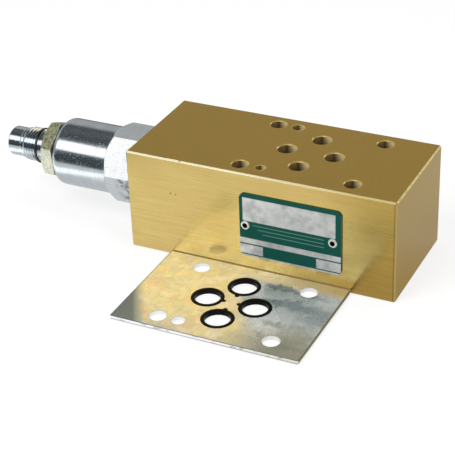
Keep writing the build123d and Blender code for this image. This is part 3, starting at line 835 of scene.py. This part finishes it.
def plated(name, look, addMarks=None):
    material, finish = newMaterial(name)
    place = finish.place()
    turned = finish.noise(place, *look["lines"])
    clouds = finish.noise(place, *zincGrain["clouds"])
    tone = clouds * 0.5 + turned * 0.5
    color = finish.blend(finish.spread(tone, *zincGrain["toneSpread"]), look["color"], look["dark"])
    if addMarks:
        color = addMarks(finish, place, color)
    flecks = finish.noise(place, *zincGrain["flecks"]).above(*zincGrain["fleckEdge"])
    fine = finish.bump(turned, *look["lineBump"])
    fine = finish.bump(finish.noise(place, *zincGrain["streaks"]), *look["streakBump"], fine)
    finish.surface({
        "Base Color": color,
        "Metallic": 1.0,
        "Roughness": finish.spread(tone, *look["roughness"]) + flecks * look["fleckRoughness"],
        "Normal": finish.bump(finish.noise(place, *look["spots"]), *look["spotBump"], fine),
    })
    return material


dress(plated("satinZinc", zincLooks["hexagon"], markedHexagon), "cartridge_body")
dress(plated("turnedZinc", zincLooks["housing"]), "spring_housing")
screwZinc = plated("screwZinc", zincLooks["screw"])

# Lock nut: yellow zinc, mottled olive and cream, pinkish on its lower facets
yellowNut = {
    "upper": (0.9, 0.9, 0.55),
    "lower": (0.56, 0.6, 0.5),
    "upperFacing": (0.4, 0.4),
    "olive": (0.3, 0.31, 0.12),
    "mottle": (750.0, 3.0, 0.7),
    "oliveSpread": (0, 0.9, 0.45, 0.62),
    "oliveBelow": 0.25,  # the olive's share on the lower facets
    "cream": (0.95, 0.94, 0.72),
    "flecks": (1400.0, 2.0, 0.6),
    "creamSpread": (0, 0.8, 0.5, 0.64),
    "pink": (0.92, 0.76, 0.66),
    "blush": (380.0, 2.0),
    "pinkSpread": (0, 0.6, 0.5, 0.65),
    "roughness": (0.32, 0.5),
    "bump": (0.35, 0.08 * mm),
}


def yellowZinc():
    look = yellowNut
    material, finish = newMaterial("yellowZinc")
    place = finish.place()
    [normalZ] = finish.axes(finish.facing(), "Z")
    mottle = finish.noise(place, *look["mottle"])
    flecks = finish.noise(place, *look["flecks"])
    blush = finish.noise(place, *look["blush"])
    isUpper = normalZ.above(*look["upperFacing"])
    olive = isUpper * (1 - look["oliveBelow"]) + look["oliveBelow"]
    color = finish.blend(isUpper, look["lower"], look["upper"])
    color = finish.blend(finish.spread(mottle, *look["oliveSpread"]) * olive, color, look["olive"])
    color = finish.blend(finish.spread(flecks, *look["creamSpread"]), color, look["cream"])
    color = finish.blend(finish.spread(blush, *look["pinkSpread"]) * (1 - isUpper), color, look["pink"])
    finish.surface({
        "Base Color": color,
        "Metallic": 1.0,
        "Roughness": finish.spread(flecks, *look["roughness"]),
        "Normal": finish.bump(mottle, *look["bump"]),
    })
    return material


dress(yellowZinc(), "lock_nut")
print("cartridge finished")

# Adjusting screw: turned down from threaded bar, so the thread runs out at the groove, the cone and the tip
adjusterSizes = {
    "pitch": 1.27 * mm,
    "crestRadius": 6.35 * mm,
    "threadDepth": 0.69 * mm,
    "crestShare": 0.125,  # of the pitch, flat on the crest
    "rootShare": 0.25,
    "stepsPerTurn": 60,
    "spareTurns": 3,  # the sweep starts and stops beyond the screw's ends
    "endRadius": 5.5 * mm,
    "endChamfer": 0.8 * mm,
    "plainLength": 5.45 * mm,
    "coneLength": 2.8 * mm,
    "grooveRadius": 5.6 * mm,
    "grooveGap": 0.1 * mm,
    "tipRadius": 4.5 * mm,
    "tipLength": 1.9 * mm,
    "socketFlats": 5.0 * mm,
    "socketDepth": 7.0 * mm,
    "stepWidth": 0.02 * mm,  # of a steep wall, such as the groove's
    "cutGap": 0.0002 * mm,  # a point nearer to a cut lies on it
    "sharpAngle": 35,
}


def turnedOutline():  # x and radius of each corner, from the outer end to the tip
    sizes = adjusterSizes
    ringLow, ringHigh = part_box("retaining_ring")
    end, tip = screwLow.x, screwHigh.x
    crest, step = sizes["crestRadius"], sizes["stepWidth"]
    chamfer, endRadius = sizes["endChamfer"], sizes["endRadius"]
    coneStart = end + sizes["plainLength"]
    grooveLow = ringLow.x - sizes["grooveGap"]
    grooveHigh = ringHigh.x + sizes["grooveGap"]
    tipStart = tip - sizes["tipLength"]
    return [
        (end, endRadius - chamfer),
        (end + chamfer, endRadius),
        (coneStart, endRadius),
        (coneStart + sizes["coneLength"], crest),
        (grooveLow - step, crest),
        (grooveLow, sizes["grooveRadius"]),
        (grooveHigh, sizes["grooveRadius"]),
        (grooveHigh + step, crest),
        (tipStart - step, crest),
        (tipStart, sizes["tipRadius"]),
        (tip, sizes["tipRadius"]),
    ]


def turnedRadius(outline, x):  # the outline's radius at x
    for (left, leftRadius), (right, rightRadius) in zip(outline, outline[1:]):
        if left <= x <= right:
            return leftRadius + (rightRadius - leftRadius) * (x - left) / (right - left)
    return outline[0][1] if x < outline[0][0] else outline[-1][1]


def fromAxis(vert):
    return Vector((0, vert.co.y - axisPoint.y, vert.co.z - axisPoint.z))


def sweepThread(shape):  # one pitch of the thread's outline, swept round and along the axis
    sizes = adjusterSizes
    pitch, crest, steps = sizes["pitch"], sizes["crestRadius"], sizes["stepsPerTurn"]
    root = crest - sizes["threadDepth"]
    crestFlat = sizes["crestShare"] * pitch
    rootFlat = sizes["rootShare"] * pitch
    flank = (pitch - crestFlat - rootFlat) / 2
    start = screwLow.x - pitch
    turns = int((screwHigh.x - screwLow.x) / pitch) + sizes["spareTurns"]
    profile = [(0, root), (rootFlat, root), (rootFlat + flank, crest)]
    profile += [(rootFlat + flank + crestFlat, crest), (pitch, root)]
    corners = [shape.verts.new((start + x, axisPoint.y, axisPoint.z + radius)) for x, radius in profile]
    lines = [shape.edges.new(pair) for pair in zip(corners, corners[1:])]
    bmesh.ops.spin(
        shape, geom=corners + lines, cent=axisPoint, axis=(1, 0, 0), dvec=(pitch / steps, 0, 0),
        angle=2 * pi * turns, steps=steps * turns, use_merge=False, use_duplicate=False,
    )
    bmesh.ops.remove_doubles(shape, verts=shape.verts, dist=mergeGap)


def turnDown(shape, outline):  # cut to length, with nothing left outside the outline
    cuts = [x for x, radius in outline]
    for x in cuts:
        everything = shape.verts[:] + shape.edges[:] + shape.faces[:]
        bmesh.ops.bisect_plane(
            shape, geom=everything, dist=adjusterSizes["cutGap"], plane_co=(x, 0, 0), plane_no=(1, 0, 0),
            clear_inner=x == cuts[0], clear_outer=x == cuts[-1],
        )
    for vert in shape.verts:
        away = fromAxis(vert)
        allowed = turnedRadius(outline, vert.co.x)
        if away.length > allowed:
            vert.co -= away * (1 - allowed / away.length)


def closeEnds(shape):  # a hexagon socket in the outer end, and a flat tip
    sizes = adjusterSizes
    rims = [edge for edge in shape.edges if edge.is_boundary]
    outerRim = [edge for edge in rims if abs(edge.verts[0].co.x - screwLow.x) < sizes["stepWidth"] / 2]
    innerRim = [edge for edge in rims if abs(edge.verts[0].co.x - screwHigh.x) < sizes["stepWidth"] / 2]
    mouth = bmesh.ops.extrude_edge_only(shape, edges=outerRim)["geom"]
    for vert in only(bmesh.types.BMVert, mouth):
        away = fromAxis(vert)
        fromFlat = atan2(away.z, away.y) % (pi / 3) - pi / 6
        vert.co += away * (sizes["socketFlats"] / 2 / cos(fromFlat) / away.length - 1)
    sides = [edge for edge in only(bmesh.types.BMEdge, mouth) if edge.is_boundary]
    walls = bmesh.ops.extrude_edge_only(shape, edges=sides)["geom"]
    bottom = [edge for edge in only(bmesh.types.BMEdge, walls) if edge.is_boundary]
    bmesh.ops.translate(shape, vec=(sizes["socketDepth"], 0, 0), verts=only(bmesh.types.BMVert, walls))
    bmesh.ops.edgeloop_fill(shape, edges=bottom)
    bmesh.ops.edgeloop_fill(shape, edges=innerRim)


def makeAdjuster():
    shape = bmesh.new()
    sweepThread(shape)
    turnDown(shape, turnedOutline())
    closeEnds(shape)
    bmesh.ops.recalc_face_normals(shape, faces=shape.faces)
    piece = addPiece("adjuster_threaded", shape, screwZinc, adjusterSizes["sharpAngle"])
    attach(piece, "screw")
    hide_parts("adjusting_screw")


makeAdjuster()
print("adjusting screw finished")

# Rubber, plastic and plain steel of the small pieces
plainLooks = {
    "rubber": {
        "color": (0.005, 0.005, 0.004), "metallic": 0.0, "roughness": 0.26, "specular": 0.07,
        "scale": 1500.0, "bump": 0.05,
        "pieces": (
            "port_seal_p", "port_seal_t", "port_seal_a", "port_seal_b",
            "cartridge_face_seal", "nose_seal", "housing_seal", "cap_seal",
        ),
    },
    "washerFibre": {
        "color": (0.05, 0.05, 0.045), "metallic": 0.0, "roughness": 0.6, "specular": 0.5,
        "scale": 900.0, "bump": 0.1,
        "pieces": ("seal_washer",),
    },
    "backupPlastic": {
        "color": (0.82, 0.81, 0.77), "metallic": 0.0, "roughness": 0.45, "specular": 0.5,
        "scale": 600.0, "bump": 0.05,
        "pieces": ("backup_ring_inner", "backup_ring_outer"),
    },
    "phosphatedSteel": {
        "color": (0.15, 0.135, 0.11), "metallic": 1.0, "roughness": 0.4, "specular": 0.5,
        "scale": 1200.0, "bump": 0.1,
        "pieces": ("retaining_ring", "gallery_plug_left", "gallery_plug_back"),
    },
    "groundSteel": {
        "color": (0.52, 0.52, 0.54), "metallic": 1.0, "roughness": 0.2, "specular": 0.5,
        "scale": 1800.0, "bump": 0.05,
        "pieces": ("valve_seat", "poppet", "spring_guide", "spring_cap", "main_spring"),
    },
}
plainGrain = {"detail": 3.0, "roughness": 0.6, "depth": 0.03 * mm, "deepShare": 0.7, "glossReach": 0.06}


def plain(name, look):
    material, finish = newMaterial(name)
    grain = finish.noise(finish.place(), look["scale"], plainGrain["detail"], plainGrain["roughness"])
    deep = [value * plainGrain["deepShare"] for value in look["color"]]
    reach = plainGrain["glossReach"]
    finish.surface({
        "Base Color": finish.blend(finish.spread(grain, 0, 1), look["color"], deep),
        "Metallic": look["metallic"],
        "Roughness": finish.spread(grain, look["roughness"] - reach, look["roughness"] + reach),
        "Specular IOR Level": look["specular"],
        "Normal": finish.bump(grain, look["bump"], plainGrain["depth"]),
    })
    return material


plainFinishes = {name: plain(name, look) for name, look in plainLooks.items()}
for name, finished in plainFinishes.items():
    dress(finished, *plainLooks[name]["pieces"])
print("plain finishes ready")

# Main spring: two halves that meet at its middle
springSharpAngle = 40
springLow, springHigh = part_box("main_spring")
springMiddle = (springLow.x + springHigh.x) / 2


def makeSpringHalf(name, keepsLeft):
    shape = bmesh.new()
    shape.from_mesh(nodes["main_spring"].data)
    bmesh.ops.remove_doubles(shape, verts=shape.verts, dist=mergeGap)
    everything = shape.verts[:] + shape.edges[:] + shape.faces[:]
    cut = bmesh.ops.bisect_plane(
        shape, geom=everything, plane_co=(springMiddle, 0, 0), plane_no=(1, 0, 0),
        clear_inner=not keepsLeft, clear_outer=keepsLeft,
    )
    bmesh.ops.edgeloop_fill(shape, edges=only(bmesh.types.BMEdge, cut["geom_cut"]))
    piece = addPiece(name, shape, plainFinishes["groundSteel"], springSharpAngle)
    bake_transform(piece)
    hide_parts("main_spring")


makeSpringHalf("spring_front_half", False)
makeSpringHalf("spring_back_half", True)
print("spring finished")

# Rivets: aluminium, with painted shade in the hole in each one's middle
rivetLook = {
    "color": (0.86, 0.86, 0.85),
    # painted shade in the hole
    "hole": (0.01, 0.008, 0.006),
    "holeRadius": 0.95 * mm,
    "holeSoftness": 0.1425 * mm,
    "metal": 0.8,
    "grain": (1500.0, 3.0, 0.6),
    "roughness": (0.3, 0.42),
    "bump": (0.05, 0.03 * mm),
}
rivets = ("nameplate_rivet_left", "nameplate_rivet_right")


def rivetAluminium():
    look = rivetLook
    material, finish = newMaterial("rivetAluminium")
    place = finish.place()
    sideways, height = finish.axes(place, "XZ")
    color = look["color"]
    for name in rivets:
        low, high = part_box(name)
        across = sideways - (low.x + high.x) / 2
        upward = height - (low.z + high.z) / 2
        inHoleShade = disc(across, upward, look["holeRadius"], look["holeSoftness"])
        color = finish.blend(inHoleShade, color, look["hole"])
    grain = finish.noise(place, *look["grain"])
    finish.surface({
        "Base Color": color,
        "Metallic": look["metal"],
        "Roughness": finish.spread(grain, *look["roughness"]),
        "Normal": finish.bump(grain, *look["bump"]),
    })
    return material


dress(rivetAluminium(), *rivets)
print("small pieces finished")

# Nameplate: fields of bare silver in green print, with three thin rules, and painted shade along its right
# edge
signPrint = {
    "green": (0.002, 0.086, 0.063),
    "silver": (0.7, 0.71, 0.72),
    "silverShade": (0.5, 0.52, 0.54),
    "fields": [  # left, right, top and bottom as shares of the plate; past 0 and 1 a field runs off it
        (0.034, 0.94, 0.061, 0.43),
        (-1, 2, 0.705, 0.79),
        (-1, 0.227, 0.81, 0.957),
        (0.755, 2, 0.81, 0.957),
        (-1, 2, 0.975, 2),
    ],
    "softness": 0.004,
    "heightSoftness": 0.006,
    "blotches": (260.0, 3.0, 0.6),
    "blotchSpread": (0, 1, 0.4, 0.65),
    "rule": (0.16, 0.32, 0.27),
    "ruleHeights": (0.485, 0.545, 0.605),  # from the top of the plate
    "ruleSpan": (0.13, 0.83),
    "ruleIndent": 0.05,  # each rule starts further in than the one above
    "ruleWidth": 0.01,
    # painted shade along the right edge
    "rim": (0.08, 0.1, 0.1),
    "rimLine": (0.25 * mm, 0.1 * mm),
    "fieldMetal": 0.6,
    "specular": 0.15,
    "roughness": (0.28, 0.4),
    "blotchBump": (0.15, 0.08 * mm),
    "waves": (170.0, 1.0),
    "waveBump": (0.5, 0.35 * mm),
}


def printedSign():
    look = signPrint
    material, finish = newMaterial("printedSign")
    low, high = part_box("nameplate")
    place = finish.place()
    sideways, height = finish.axes(place, "XZ")
    across = (sideways - low.x) / (high.x - low.x)
    down = (high.z - height) / (high.z - low.z)
    blotches = finish.noise(place, *look["blotches"])
    shade = finish.spread(blotches, *look["blotchSpread"])
    silver = finish.blend(shade, look["silver"], look["silverShade"])
    silverField = 0
    for left, right, top, bottom in look["fields"]:
        field = across.between(left, right, look["softness"])
        silverField = field * down.between(top, bottom, look["heightSoftness"]) + silverField
    color = finish.blend(silverField, look["green"], silver)
    width = look["ruleWidth"]
    left, right = look["ruleSpan"]
    for index, middle in enumerate(look["ruleHeights"]):
        rule = across.between(left + look["ruleIndent"] * index, right, look["softness"])
        rule = rule * down.between(middle - width / 2, middle + width / 2, width)
        color = finish.blend(rule, color, look["rule"])
    color = finish.blend((high.x - sideways).below(*look["rimLine"]), color, look["rim"])
    fine = finish.bump(blotches, *look["blotchBump"])
    finish.surface({
        "Base Color": color,
        "Metallic": silverField * look["fieldMetal"],
        "Specular IOR Level": look["specular"],
        "Roughness": finish.spread(blotches, *look["roughness"]),
        "Normal": finish.bump(finish.noise(place, *look["waves"]), *look["waveBump"], fine),
    })
    return material


dress(printedSign(), "nameplate")
print("nameplate finished")

# End of the build
print("scene built")
